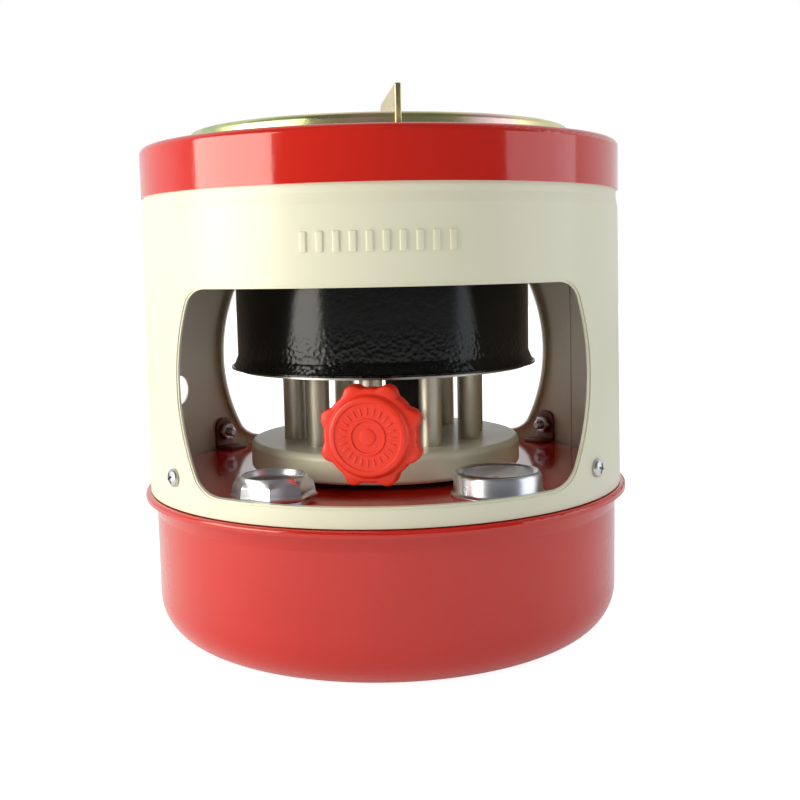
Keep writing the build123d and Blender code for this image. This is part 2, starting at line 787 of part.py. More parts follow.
with BuildPart() as filler_cap:
    with BuildSketch(Plane.XY.offset(cap_bottom)):
        with Locations(filler_spot):
            Circle(cap_radius)
            with PolarLocations(cap_lobe_circle, cap_lobes):
                Circle(cap_lobe_radius)
    extrude(amount=cap_top - cap_bottom - cap_shoulder)
    with BuildSketch(Plane.XY.offset(cap_top - cap_shoulder)):
        with Locations(filler_spot):
            Circle(cap_radius - cap_shoulder_inset)
    with BuildSketch(Plane.XY.offset(cap_top)):
        with Locations(filler_spot):
            Circle(cap_rim_radius)
    loft()
    with BuildSketch(Plane.XY.offset(cap_top)):
        with Locations(filler_spot):
            Circle(cap_dish_radius)
    extrude(amount=gasket_top + cap_floor - cap_top, mode=Mode.SUBTRACT)
    with BuildSketch(Plane.XY.offset(cap_bottom)):
        with Locations(filler_spot):
            Circle(neck_radius + cap_skirt_gap)
    extrude(amount=gasket_top - cap_bottom, mode=Mode.SUBTRACT)
save(filler_cap, "filler_cap")

# ------------------------------------------------------------------ fuel gauge
with BuildPart() as gauge_tube:
    with BuildSketch(Plane.XY.offset(gauge_tube_bottom)):
        with Locations(gauge_spot):
            Circle(gauge_tube_radius)
    extrude(amount=gauge_flange_top - gauge_tube_bottom)
    with BuildSketch(Plane.XY.offset(deck_height)):
        with Locations(gauge_spot):
            Circle(gauge_flange_radius)
    extrude(amount=gauge_flange_thickness)
    with BuildSketch(Plane.XY.offset(gauge_tube_bottom + sheet)):
        with Locations(gauge_spot):
            Circle(gauge_tube_radius - gauge_tube_wall)
    extrude(amount=gauge_flange_top - gauge_tube_bottom, mode=Mode.SUBTRACT)
    with BuildSketch(Plane.XY.offset(gauge_tube_bottom + 3 * sheet)):
        with Locations(gauge_spot):
            Rectangle(gauge_slot_width, 3 * gauge_tube_radius)
    extrude(amount=float_travel, mode=Mode.SUBTRACT)
save(gauge_tube, "gauge_tube")

with BuildPart() as gauge_dial:
    with BuildSketch(Plane.XY.offset(dial_top - dial_thickness)):
        with Locations(gauge_spot):
            Circle(gauge_flange_radius)
            Circle(spindle_radius + fit_gap, mode=Mode.SUBTRACT)
    extrude(amount=dial_thickness)
    with BuildSketch(Plane.XY.offset(gauge_flange_top)):
        with Locations(gauge_spot):
            Circle(gauge_flange_radius)
            Circle(gauge_flange_radius - dial_wall, mode=Mode.SUBTRACT)
    extrude(amount=dial_top - dial_thickness - gauge_flange_top)
save(gauge_dial, "gauge_dial")

with BuildPart() as gauge_glass:
    with BuildSketch(Plane.XY.offset(glass_top - glass_thickness)):
        with Locations(gauge_spot):
            Circle(gauge_flange_radius)
    extrude(amount=glass_thickness)
save(gauge_glass, "gauge_glass")

with BuildPart() as gauge_bezel:
    with BuildSketch(Plane.XY.offset(deck_height)):
        with Locations(gauge_spot):
            Circle(bezel_radius)
    with BuildSketch(Plane.XY.offset(bezel_top)):
        with Locations(gauge_spot):
            Circle(bezel_rim_radius)
    loft()
    fillet(gauge_bezel.edges().group_by(Axis.Z)[-1], bezel_edge_round)
    with BuildSketch(Plane.XY.offset(deck_height)):
        with Locations(gauge_spot):
            Circle(gauge_flange_radius)
    extrude(amount=glass_top - deck_height, mode=Mode.SUBTRACT)
    with BuildSketch(Plane.XY.offset(deck_height)):
        with Locations(gauge_spot):
            Circle(bezel_sight_radius)
    extrude(amount=bezel_top - deck_height, mode=Mode.SUBTRACT)
save(gauge_bezel, "gauge_bezel")

float_bottom = gauge_tube_bottom + sheet + float_start
float_radius = gauge_tube_radius - gauge_tube_wall - 2 * fit_gap
with BuildPart() as gauge_float:
    with BuildSketch(Plane.XY.offset(float_bottom)):
        with Locations(gauge_spot):
            Circle(float_radius)
            Circle(spindle_radius + 2 * fit_gap, mode=Mode.SUBTRACT)
    extrude(amount=float_height)
save(gauge_float, "gauge_float")

pointer_bottom = dial_top + pointer_rise
spindle_bottom = gauge_tube_bottom + sheet + spindle_gap
with BuildPart() as gauge_spindle:
    with BuildSketch(Plane.XY.offset(spindle_bottom)):
        with Locations(gauge_spot):
            Circle(spindle_radius)
    extrude(amount=pointer_bottom - spindle_bottom)
save(gauge_spindle, "gauge_spindle")

with BuildPart() as gauge_pointer:
    with BuildSketch(Plane.XY.offset(pointer_bottom)):
        with Locations(gauge_spot):
            Circle(2 * spindle_radius)
            with Locations((0, pointer_length / 2 - pointer_tail)):
                Rectangle(pointer_width, pointer_length)
    extrude(amount=pointer_thickness)
save(gauge_pointer, "gauge_pointer")
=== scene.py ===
"""Looks of a round paraffin wick stove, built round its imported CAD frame.

Metres, in the frame's own axes: +Z is up, the front with the knob faces -Y. Azimuths are degrees round the
stove's upright axis, from the front towards +X.
"""

import json
from math import asin, atan2, cos, hypot, pi, radians, sin, sqrt

import bmesh
import bpy
from mathutils import Matrix, Vector

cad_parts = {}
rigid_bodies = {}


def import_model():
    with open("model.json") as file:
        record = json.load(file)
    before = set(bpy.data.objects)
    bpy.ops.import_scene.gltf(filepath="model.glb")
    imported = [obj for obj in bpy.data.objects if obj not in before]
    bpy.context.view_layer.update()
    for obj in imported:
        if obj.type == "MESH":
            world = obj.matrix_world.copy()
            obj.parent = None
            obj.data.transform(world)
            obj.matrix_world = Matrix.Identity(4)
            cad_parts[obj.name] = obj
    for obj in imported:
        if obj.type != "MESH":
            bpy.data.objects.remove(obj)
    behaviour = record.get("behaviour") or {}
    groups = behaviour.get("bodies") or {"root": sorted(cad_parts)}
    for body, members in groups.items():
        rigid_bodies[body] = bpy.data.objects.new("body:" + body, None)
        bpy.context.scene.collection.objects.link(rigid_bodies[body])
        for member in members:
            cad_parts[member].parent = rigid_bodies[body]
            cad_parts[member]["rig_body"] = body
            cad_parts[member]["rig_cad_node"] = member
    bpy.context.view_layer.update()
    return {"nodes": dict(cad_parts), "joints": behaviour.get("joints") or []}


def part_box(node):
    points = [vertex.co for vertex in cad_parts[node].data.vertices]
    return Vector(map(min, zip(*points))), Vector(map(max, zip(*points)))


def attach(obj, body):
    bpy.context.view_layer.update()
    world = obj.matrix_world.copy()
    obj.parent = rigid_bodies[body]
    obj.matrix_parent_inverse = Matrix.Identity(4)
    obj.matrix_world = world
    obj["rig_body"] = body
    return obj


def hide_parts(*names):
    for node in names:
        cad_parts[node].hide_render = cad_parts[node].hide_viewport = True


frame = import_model()

# ---------------------------------------------------------------- tank
# The tank is a deep-drawn pan under a flat deck, rolled together at one seam. Both are steel sheet under a
# thick coat of red stoved enamel, which shows a faint orange peel and a few rubbed, duller patches.


def bare_material(name):
    """Start a material: its node tree, its surface shader and the piece's own coordinates."""
    material = bpy.data.materials.new(name)
    material.use_nodes = True
    tree = material.node_tree
    shader = tree.nodes["Principled BSDF"]
    place = tree.nodes.new("ShaderNodeTexCoord")
    return material, tree, shader, place.outputs["Object"]


def grain_group(name, layers):
    """Node group with one noise for each layer, given as its label, scale, detail and stretch."""
    group = bpy.data.node_groups.new(name, "ShaderNodeTree")
    group.interface.new_socket("Vector", in_out="INPUT", socket_type="NodeSocketVector")
    size = group.interface.new_socket("Size", in_out="INPUT", socket_type="NodeSocketFloat")
    size.default_value = 1.0
    start = group.nodes.new("NodeGroupInput")
    end = group.nodes.new("NodeGroupOutput")
    for label, scale, detail, stretch in layers:
        group.interface.new_socket(label, in_out="OUTPUT", socket_type="NodeSocketFloat")
        mapping = group.nodes.new("ShaderNodeMapping")
        mapping.inputs["Scale"].default_value = stretch
        times = group.nodes.new("ShaderNodeMath")
        times.operation = "MULTIPLY"
        times.inputs[1].default_value = scale
        noise = group.nodes.new("ShaderNodeTexNoise")
        noise.inputs["Detail"].default_value = detail
        group.links.new(start.outputs["Vector"], mapping.inputs["Vector"])
        group.links.new(start.outputs["Size"], times.inputs[0])
        group.links.new(mapping.outputs["Vector"], noise.inputs["Vector"])
        group.links.new(times.outputs[0], noise.inputs["Scale"])
        group.links.new(noise.outputs["Fac"], end.inputs[label])
    return group


def place_group(tree, group, place, size=1.0):
    """Put a node group into a material, on the piece's own coordinates."""
    node = tree.nodes.new("ShaderNodeGroup")
    node.node_tree = group
    node.inputs["Size"].default_value = size
    tree.links.new(place, node.inputs["Vector"])
    return node


def between(tree, value, low, high):
    """Spread a noise value over the range from low to high."""
    spread = tree.nodes.new("ShaderNodeMapRange")
    spread.inputs["From Min"].default_value = 0.3
    spread.inputs["From Max"].default_value = 0.7
    spread.inputs["To Min"].default_value = low
    spread.inputs["To Max"].default_value = high
    tree.links.new(value, spread.inputs["Value"])
    return spread.outputs["Result"]


def blend_colours(tree, share, low, high):
    """Mix two colours. Each is a plain colour or another node's output."""
    mix = tree.nodes.new("ShaderNodeMix")
    mix.data_type = "RGBA"
    tree.links.new(share, mix.inputs["Factor"])
    for socket, colour in (("A", low), ("B", high)):
        slot = next(s for s in mix.inputs if s.name == socket and s.type == "RGBA")
        if isinstance(colour, tuple):
            slot.default_value = (*colour, 1.0)
        else:
            tree.links.new(colour, slot)
    return next(s for s in mix.outputs if s.type == "RGBA")


def two_tones(tree, grain, deep, bright):
    """Two close colours that drift into each other over a piece."""
    return blend_colours(tree, between(tree, grain.outputs["Tone"], 0, 1), deep, bright)


def raise_surface(tree, shader, height, depth, under=None):
    """Bump the surface by a height of this depth in metres, on top of another bump if one is given."""
    bump = tree.nodes.new("ShaderNodeBump")
    bump.inputs["Distance"].default_value = depth
    tree.links.new(height, bump.inputs["Height"])
    if under is not None:
        tree.links.new(under, bump.inputs["Normal"])
    tree.links.new(bump.outputs["Normal"], shader.inputs["Normal"])
    return bump.outputs["Normal"]


paint_grain = grain_group("paint_grain", [
    ("Peel", 420.0, 2.0, (1, 1, 1)),
    ("Tone", 11.0, 4.0, (1, 1, 1)),
    ("Rub", 38.0, 6.0, (1, 1, 0.6)),
    ("Speck", 900.0, 1.0, (1, 1, 1)),
])


def enamel(name, deep, bright, gloss, dull, peel, coat, size=1.0):
    """Stoved enamel: two close tones, roughness that drifts from gloss to dull, and orange peel."""
    material, tree, shader, place = bare_material(name)
    grain = place_group(tree, paint_grain, place, size)
    tree.links.new(two_tones(tree, grain, deep, bright), shader.inputs["Base Color"])
    tree.links.new(between(tree, grain.outputs["Rub"], gloss, dull), shader.inputs["Roughness"])
    raise_surface(tree, shader, grain.outputs["Peel"], peel)
    shader.inputs["Coat Weight"].default_value = coat
    shader.inputs["Coat Roughness"].default_value = 0.04
    return material


def finish_nodes(material, *nodes):
    """Give a material to CAD nodes that stay as they are."""
    for name in nodes:
        slots = frame["nodes"][name].data.materials
        slots.clear()
        slots.append(material)


red_enamel = enamel("red_enamel", (0.56, 0.014, 0.006), (0.62, 0.018, 0.008), 0.10, 0.20, 0.00003, 0.5)
finish_nodes(red_enamel, "tank_pan", "tank_deck", "top_band")

# ---------------------------------------------------------------- shell
# The shell is a rolled steel sheet with two pressed windows, under a warm cream enamel. Its butt seam runs up
# the inside on the right, and a row of pressed ribs stiffens the strip above the front window.
shell_cream = (0.79, 0.78, 0.60)
shell_cream_pale = (0.82, 0.81, 0.64)
cream_enamel = enamel("cream_enamel", shell_cream, shell_cream_pale, 0.30, 0.38, 0.00002, 0.08)
finish_nodes(cream_enamel, "shell", "wick_housing")

rib_count = 10
rib_pitch = 0.0056
rib_size = (0.0024, 0.0008, 0.0070)
rib_across = -0.001
rib_height = 0.158
rib_radius = 0.0966


def settle(name):
    """Name the piece just made and put its place into its mesh."""
    if bpy.context.object.mode == "EDIT":
        bpy.ops.object.mode_set(mode="OBJECT")
    piece = bpy.context.object
    piece.name = name
    piece.data.name = name
    bpy.ops.object.transform_apply(location=True, rotation=True, scale=True)
    return piece


def modify(piece, kind, **values):
    """Put a modifier on a piece and apply it."""
    modifier = piece.modifiers.new(kind.lower(), kind)
    for key, value in values.items():
        setattr(modifier, key, value)
    bpy.context.view_layer.objects.active = piece
    bpy.ops.object.modifier_apply(modifier=modifier.name)


def smooth(piece, angle=35):
    """Shade a piece smooth, with its edges over this angle kept crisp."""
    bpy.ops.object.select_all(action="DESELECT")
    piece.select_set(True)
    bpy.context.view_layer.objects.active = piece
    bpy.ops.object.shade_smooth_by_angle(angle=radians(angle))


def around(azimuth):
    """Turn that brings something from the stove's front round to this azimuth."""
    return Matrix.Rotation(radians(azimuth), 4, "Z")


def copies(piece, places):
    """Copy a piece, each copy with its own mesh, and join the copies into one piece."""
    made = []
    for place in places:
        copy = piece.copy()
        copy.data = piece.data.copy()
        bpy.context.scene.collection.objects.link(copy)
        copy.data.transform(place)
        made.append(copy)
    bpy.ops.object.select_all(action="DESELECT")
    for copy in made:
        copy.select_set(True)
    bpy.context.view_layer.objects.active = made[0]
    bpy.ops.object.join()
    name = piece.name
    bpy.data.objects.remove(piece)
    joined = bpy.context.object
    joined.name = name
    joined.data.name = name
    return joined


def fit_out(piece, body, material, slot, *nodes):
    """Give a finished piece its body, material and the CAD nodes that it stands for. The slot is not used."""
    piece.data.materials.clear()
    piece.data.materials.append(material)
    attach(piece, body)
    if nodes:
        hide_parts(*nodes)


bpy.ops.object.select_all(action="DESELECT")
bpy.ops.mesh.primitive_cube_add(size=1, location=(0, -rib_radius, rib_height), scale=rib_size)
rib = settle("shell_ribs")
modify(rib, "BEVEL", width=0.00034, segments=3)
rib_places = []
for number in range(rib_count):
    across = rib_across + (number - (rib_count - 1) / 2) * rib_pitch
    rib_places.append(Matrix.Rotation(asin(across / rib_radius), 4, "Z"))
shell_ribs = copies(rib, rib_places)
smooth(shell_ribs, 60)
fit_out(shell_ribs, "stove", cream_enamel, "cream_enamel")

shell_low, shell_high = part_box("shell")
seam_azimuth = 117
seam_size = (0.0011, 0.0004, 0.100)
seam_foot = shell_low.z + 0.004
seam_foot_radius = (shell_high.x - shell_low.x) / 2 - 0.0009
seam_lean = -0.0015 / 0.11
bpy.ops.object.select_all(action="DESELECT")
bpy.ops.mesh.primitive_cube_add(size=1, location=(0, 0, seam_size[2] / 2), scale=seam_size)
shell_seam = settle("shell_seam")
modify(shell_seam, "BEVEL", width=0.00015, segments=2)
stand_in = Matrix.Translation((0, -seam_foot_radius, seam_foot)) @ Matrix.Rotation(seam_lean, 4, "X")
shell_seam.data.transform(around(seam_azimuth) @ stand_in)
smooth(shell_seam)
fit_out(shell_seam, "stove", cream_enamel, "cream_enamel")

# ---------------------------------------------------------------- fixings of the shell
# Four zinc-plated pan-head screws with a cross recess go through the shell into hexagon nuts behind four
# painted tabs on the deck. The tabs' deep dark red is painted shade over their red enamel.
metal_grain = grain_group("metal_grain", [
    ("Draw", 260.0, 3.0, (1, 1, 0.04)),
    ("Tone", 24.0, 5.0, (1, 1, 1)),
    ("Pit", 1400.0, 2.0, (1, 1, 1)),
    ("Smear", 70.0, 5.0, (1, 1, 0.5)),
])


def plated(name, deep, bright, gloss, dull, lines, pits):
    """Bare or plated metal: two tones, drifting roughness, drawing lines and fine pits."""
    material, tree, shader, place = bare_material(name)
    grain = place_group(tree, metal_grain, place)
    tree.links.new(two_tones(tree, grain, deep, bright), shader.inputs["Base Color"])
    tree.links.new(between(tree, grain.outputs["Smear"], gloss, dull), shader.inputs["Roughness"])
    shader.inputs["Metallic"].default_value = 1.0
    under = raise_surface(tree, shader, grain.outputs["Draw"], lines)
    raise_surface(tree, shader, grain.outputs["Pit"], pits, under)
    return material


zinc_steel = plated("zinc_steel", (0.50, 0.52, 0.55), (0.72, 0.73, 0.74), 0.20, 0.38, 0.00001, 0.00002)
# painted shade: the tabs get a far darker red than the deck's red enamel, standing in for the shade they sit
# in
painted_shade_tab = enamel("tab_enamel_painted_shade", (0.16, 0.020, 0.016), (0.26, 0.030, 0.022), 0.30, 0.50, 0.00004, 0.1)

screw_azimuths = (-54, 54, 127, -127)
screw_height = 0.0725
screw_seat = 0.0979
screw_head_radius = 0.0035
screw_head_rise = 0.0020
screw_shank_radius = 0.0020
screw_shank_length = 0.0088
screw_rim = 0.0004
cross_width = 0.0009
cross_reach = 0.0040
cross_depth = 0.0012


def turned(name, spot, profile, corners):
    """Turn a profile of (radius, height) steps round an upright axis, by extruding one circle along it."""
    bpy.ops.object.select_all(action="DESELECT")
    radius, height = profile[0]
    radius = max(radius, 0.00001)
    bpy.ops.mesh.primitive_circle_add(vertices=corners, radius=radius, location=(spot[0], spot[1], height))
    bpy.ops.object.mode_set(mode="EDIT")
    bpy.ops.mesh.select_all(action="SELECT")
    for next_radius, next_height in profile[1:]:
        next_radius = max(next_radius, 0.00001)
        extrude_ring(spot, next_radius / radius, next_height - height, next_height)
        radius, height = next_radius, next_height
    return close_up(name)


def extrude_ring(spot, growth, rise, height):
    """Extrude the selected ring upwards and scale it about the axis."""
    bpy.ops.mesh.extrude_region_move(TRANSFORM_OT_translate={"value": (0, 0, rise)})
    bpy.ops.transform.resize(value=(growth, growth, 1), center_override=(spot[0], spot[1], height))


def close_up(name):
    """Merge the poles and the closing ring, and turn all faces outwards."""
    bpy.ops.mesh.select_all(action="SELECT")
    bpy.ops.mesh.remove_doubles(threshold=0.00003)
    bpy.ops.mesh.normals_make_consistent(inside=False)
    return settle(name)


head_steps = 6
screw_profile = [(0, -screw_shank_length), (screw_shank_radius * 0.7, -screw_shank_length),
                 (screw_shank_radius, -screw_shank_length + 0.0006), (screw_shank_radius, 0),
                 (screw_head_radius, 0), (screw_head_radius, screw_rim)]
for step in range(1, head_steps + 1):
    lift = radians(90) * step / head_steps
    height = screw_rim + (screw_head_rise - screw_rim) * sin(lift)
    screw_profile.append((screw_head_radius * cos(lift), height))
screw = turned("shell_screws_piece", (0, 0), screw_profile, 40)
bpy.ops.object.select_all(action="DESELECT")
cross_size = (cross_width, cross_reach, 2 * cross_depth)
bpy.ops.mesh.primitive_cube_add(size=1, location=(0, 0, screw_head_rise), scale=cross_size)
cross = settle("cross")
cross_arm = cross.copy()
cross_arm.data = cross.data.copy()
cross_arm.data.transform(Matrix.Rotation(radians(90), 4, "Z"))
bpy.context.scene.collection.objects.link(cross_arm)
modify(screw, "BOOLEAN", operation="DIFFERENCE", object=cross, solver="MANIFOLD")
modify(screw, "BOOLEAN", operation="DIFFERENCE", object=cross_arm, solver="MANIFOLD")
bpy.data.objects.remove(cross)
bpy.data.objects.remove(cross_arm)
screw_places = []
for number, azimuth in enumerate(screw_azimuths):
    stand = Matrix.Translation((0, -screw_seat, screw_height)) @ Matrix.Rotation(radians(90), 4, "X")
    screw_places.append(around(azimuth) @ stand @ Matrix.Rotation(radians(25 + 50 * number), 4, "Z"))
shell_screws = copies(screw, screw_places)
smooth(shell_screws)
fit_out(shell_screws, "stove", zinc_steel, "zinc_steel", "shell_screws")


def softened(node, width):
    """Copy a CAD node, merge its triangles and round its sharp edges by this width."""
    source = frame["nodes"][node]
    piece = source.copy()
    piece.data = source.data.copy()
    piece.parent = None
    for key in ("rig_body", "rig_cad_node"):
        if key in piece:
            del piece[key]
    bpy.context.scene.collection.objects.link(piece)
    bpy.ops.object.select_all(action="DESELECT")
    piece.select_set(True)
    bpy.context.view_layer.objects.active = piece
    bpy.ops.object.mode_set(mode="EDIT")
    bpy.ops.mesh.select_all(action="SELECT")
    bpy.ops.mesh.remove_doubles(threshold=0.000002)
    bpy.ops.mesh.dissolve_limited(angle_limit=radians(0.5))
    bpy.ops.object.mode_set(mode="OBJECT")
    modify(piece, "BEVEL", width=width, segments=2, limit_method="ANGLE", angle_limit=radians(30),
           use_clamp_overlap=True)
    piece.name = node + "_piece"
    piece.data.name = piece.name
    smooth(piece)
    return piece


shell_nuts = softened("shell_nuts", 0.00035)
fit_out(shell_nuts, "stove", zinc_steel, "zinc_steel", "shell_nuts")
# painted shade: the tabs are red enamel on the real stove, darkened here to stand in for their shade
shell_tabs = softened("shell_tabs", 0.0003)
fit_out(shell_tabs, "stove", painted_shade_tab, "red_enamel", "shell_tabs")

# ---------------------------------------------------------------- wick housing, tubes and burner seat
# A dark gasket seals the cream housing to the deck; its near-black colour is partly painted shade for the
# shaded gap under the housing's overhang. Ten rolled steel tubes stand in it and carry the plate that the
# burner stands on, which has the burner's own steel.
# painted shade: under the housing this near-black rubber also darkens the gap where only shade falls; on the
# cap gasket it is the rubber's own colour
gasket_black_and_shade = (0.012, 0.012, 0.012)
gasket_grey_and_shade = (0.030, 0.028, 0.026)
gasket_rubber = enamel("gasket_rubber", gasket_black_and_shade, gasket_grey_and_shade, 0.65, 0.85, 0.00010, 0.0, 2.0)
tube_steel = plated("tube_steel", (0.60, 0.57, 0.46), (0.76, 0.73, 0.63), 0.38, 0.58, 0.00004, 0.00003)
finish_nodes(gasket_rubber, "housing_gasket", "cap_gasket")
finish_nodes(tube_steel, "wick_tubes")
finish_nodes(zinc_steel, "filler_neck", "wick_carrier")

# ---------------------------------------------------------------- drive and knob
# The knob is one red-orange moulding on a steel shaft. The shaft turns a brass pinion in a black steel case,
# where a brass rack lifts the wick carrier.
black_steel = enamel("black_steel", (0.006, 0.006, 0.007), (0.014, 0.014, 0.015), 0.35, 0.55, 0.00006, 0.0)
brass = plated("brass", (0.60, 0.43, 0.16), (0.78, 0.60, 0.28), 0.22, 0.40, 0.00002, 0.00002)
drive_case = softened("drive_case", 0.0003)
fit_out(drive_case, "stove", black_steel, "black_steel", "drive_case")
finish_nodes(tube_steel, "knob_shaft")
finish_nodes(brass, "rack", "pinion", "wick_ferrules", "gauge_spindle", "gauge_tube")

knob_joint = next(j for j in frame["joints"] if j["name"] == "knob_turn")
knob_axis = -Vector(knob_joint["axis"])
knob_turn = knob_axis.to_track_quat("Z", "Y").to_matrix().to_4x4()
knob_place = Matrix.Translation(Vector(knob_joint["pos_m"])) @ knob_turn
knob_lobes = 8
knob_corners = knob_lobes * 16
knob_radius = 0.0168
knob_lobe_circle = 0.0155
knob_lobe_radius = 0.0035
knob_half = 0.0040
knob_face_radius = 0.0148
knob_face_top = 0.0066
knob_edge = 0.0010
hub_radius = 0.0050
skirt_radius = 0.0142
bore_radius = 0.0020
knob_floor = 0.0010


def lobed(angle, base, circle, lobe, count, first):
    """Radius of a round outline with lobes on it, at this angle."""
    step = 2 * pi / count
    away = (angle - first + step / 2) % step - step / 2
    if abs(circle * sin(away)) >= lobe:
        return base
    return max(base, circle * cos(away) + sqrt(lobe ** 2 - (circle * sin(away)) ** 2))


def select_corners(members):
    """Select these corners of the mesh in hand and nothing else."""
    bpy.ops.mesh.select_all(action="DESELECT")
    mesh = bmesh.from_edit_mesh(bpy.context.object.data)
    mesh.verts.ensure_lookup_table()
    for index in members:
        mesh.verts[index].select = True
    mesh.select_flush_mode()
    bmesh.update_edit_mesh(bpy.context.object.data)


def reshape_ring(spot, height, outline):
    """Scale the corners of the selected ring, like ones together, to the radius the outline gives."""
    mesh = bmesh.from_edit_mesh(bpy.context.object.data)
    origin = bpy.context.object.location
    groups = {}
    for corner in mesh.verts:
        if corner.select:
            place = corner.co + origin
            across, along = place.x - spot[0], place.y - spot[1]
            growth = outline(atan2(along, across)) / hypot(across, along)
            groups.setdefault(round(growth, 4), []).append(corner.index)
    for growth, members in groups.items():
        select_corners(members)
        bpy.ops.transform.resize(value=(growth, growth, 1), center_override=(spot[0], spot[1], height))
    select_corners([index for members in groups.values() for index in members])


def lobed_piece(name, spot, inside, wall, outline, crown, corners):
    """Turn a lobed piece: round steps inside, then lobed steps up its wall, then round steps over its top."""
    bpy.ops.object.select_all(action="DESELECT")
    bpy.context.tool_settings.mesh_select_mode = (True, False, False)
    radius, height = inside[0]
    radius = max(radius, 0.00001)
    bpy.ops.mesh.primitive_circle_add(vertices=corners, radius=radius, location=(spot[0], spot[1], height))
    bpy.ops.object.mode_set(mode="EDIT")
    bpy.ops.mesh.select_all(action="SELECT")
    for next_radius, next_height in inside[1:]:
        extrude_ring(spot, next_radius / radius, next_height - height, next_height)
        radius, height = next_radius, next_height
    share, next_height = wall[0]
    extrude_ring(spot, 1.0, next_height - height, next_height)
    reshape_ring(spot, next_height, lambda angle: outline(angle) * share)
    height = next_height
    for next_share, next_height in wall[1:]:
        extrude_ring(spot, next_share / share, next_height - height, next_height)
        share, height = next_share, next_height
    radius, next_height = crown[0]
    extrude_ring(spot, 1.0, next_height - height, next_height)
    reshape_ring(spot, next_height, lambda angle: radius)
    height = next_height
    for next_radius, next_height in crown[1:]:
        next_radius = max(next_radius, 0.00001)
        extrude_ring(spot, next_radius / radius, next_height - height, next_height)
        radius, height = next_radius, next_height
    return close_up(name)


def knob_outline(angle):
    """The knob's outline, with a little round in the valleys."""
    spread = radians(2.2)
    first = pi / knob_lobes
    near = []
    for turn in (-1, 0, 1):
        beside = angle + turn * spread
        near.append(lobed(beside, knob_radius, knob_lobe_circle, knob_lobe_radius, knob_lobes, first))
    return sum(near) / len(near)


knob_dish = knob_face_top - 0.0004
knob_inside = [(0, 0), (bore_radius, 0), (bore_radius, -knob_half), (hub_radius, -knob_half),
               (hub_radius, knob_floor), (skirt_radius, knob_floor), (skirt_radius, -knob_half)]
knob_wall = [(0.975, -knob_half), (0.992, -knob_half + 0.0002), (1.0, -knob_half + 0.0006),
             (1.0, knob_half - knob_edge), (0.992, knob_half - 0.6 * knob_edge),
             (0.975, knob_half - 0.25 * knob_edge), (0.95, knob_half)]
knob_rim = [(knob_face_radius + 0.0004, knob_half), (knob_face_radius, knob_half + 0.0003),
            (knob_face_radius - 0.0004, knob_face_top - 0.0009),
            (knob_face_radius - 0.0008, knob_face_top - 0.0003),
            (knob_face_radius - 0.0014, knob_face_top), (knob_face_radius - 0.0026, knob_face_top),
            (knob_face_radius - 0.0030, knob_dish)]
knob_middle = [(0.0066, knob_dish), (0.0064, knob_face_top), (0.0057, knob_face_top), (0.0055, knob_dish),
               (0.0030, knob_dish), (0.0028, knob_face_top - 0.0001), (0.0022, knob_face_top),
               (0, knob_face_top)]
knob_crown = knob_rim + knob_middle
knob = lobed_piece("knob_piece", (0, 0), knob_inside, knob_wall, knob_outline, knob_crown, knob_corners)
tick_count = 24
tick_radius = 0.0091
tick_size = (0.0007, 0.0026, 0.0005)
bpy.ops.object.select_all(action="DESELECT")
bpy.ops.mesh.primitive_cube_add(size=1, location=(0, tick_radius, knob_dish), scale=tick_size)
tick = settle("knob_ticks")
modify(tick, "BEVEL", width=0.00012, segments=2)
knob_ticks = copies(tick, [Matrix.Rotation(2 * pi * n / tick_count, 4, "Z") for n in range(tick_count)])
bpy.ops.object.select_all(action="DESELECT")
knob_ticks.select_set(True)
knob.select_set(True)
bpy.context.view_layer.objects.active = knob
bpy.ops.object.join()
knob.data.transform(knob_place)
smooth(knob)

knob_plastic, tree, shader, place = bare_material("knob_plastic")
grain = place_group(tree, paint_grain, place)
knob_orange = two_tones(tree, grain, (0.80, 0.030, 0.010), (0.90, 0.045, 0.016))
tree.links.new(knob_orange, shader.inputs["Base Color"])
tree.links.new(between(tree, grain.outputs["Rub"], 0.30, 0.46), shader.inputs["Roughness"])
raise_surface(tree, shader, grain.outputs["Speck"], 0.00003)
shader.inputs["Subsurface Weight"].default_value = 0.12
shader.inputs["Subsurface Radius"].default_value = (0.004, 0.0012, 0.0008)
fit_out(knob, "knob", knob_plastic, "knob_plastic", "knob")

# ---------------------------------------------------------------- wicks
# Ten round braided cotton wicks stand in the tubes, held by brass ferrules on the carrier. Their tips are
# charred.
wick_cotton, tree, shader, place = bare_material("wick_cotton")
grain = place_group(tree, paint_grain, place, 2.0)
char_start = 0.1015
char_end = 0.1040
height_of = tree.nodes.new("ShaderNodeSeparateXYZ")
tree.links.new(place, height_of.inputs["Vector"])
char = tree.nodes.new("ShaderNodeMapRange")
char.inputs["From Min"].default_value = char_start
char.inputs["From Max"].default_value = char_end
tree.links.new(height_of.outputs["Z"], char.inputs["Value"])
braid = tree.nodes.new("ShaderNodeTexVoronoi")
braid.inputs["Scale"].default_value = 900
tree.links.new(place, braid.inputs["Vector"])
clean = two_tones(tree, grain, (0.70, 0.64, 0.50), (0.84, 0.80, 0.70))
charred = blend_colours(tree, char.outputs["Result"], clean, (0.03, 0.025, 0.02))
tree.links.new(charred, shader.inputs["Base Color"])
shader.inputs["Roughness"].default_value = 0.95
raise_surface(tree, shader, braid.outputs["Distance"], 0.0004)
wick_low, wick_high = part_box("wicks")
wick_count = 10
wick_circle = 0.038
wick_first = radians(28)
wick_radius = 0.0033
wick_profile = [(0, wick_low.z), (wick_radius * 0.8, wick_low.z)]
braid_low = wick_low.z + 0.001
braid_length = wick_high.z - wick_low.z - 0.002
braid_steps = 48
for step in range(braid_steps):
    swell = 1.0 if step % 2 else 0.94
    wick_profile.append((wick_radius * swell, braid_low + braid_length * step / (braid_steps - 1)))
wick_profile += [(wick_radius * 0.8, wick_high.z), (0, wick_high.z - 0.0005)]
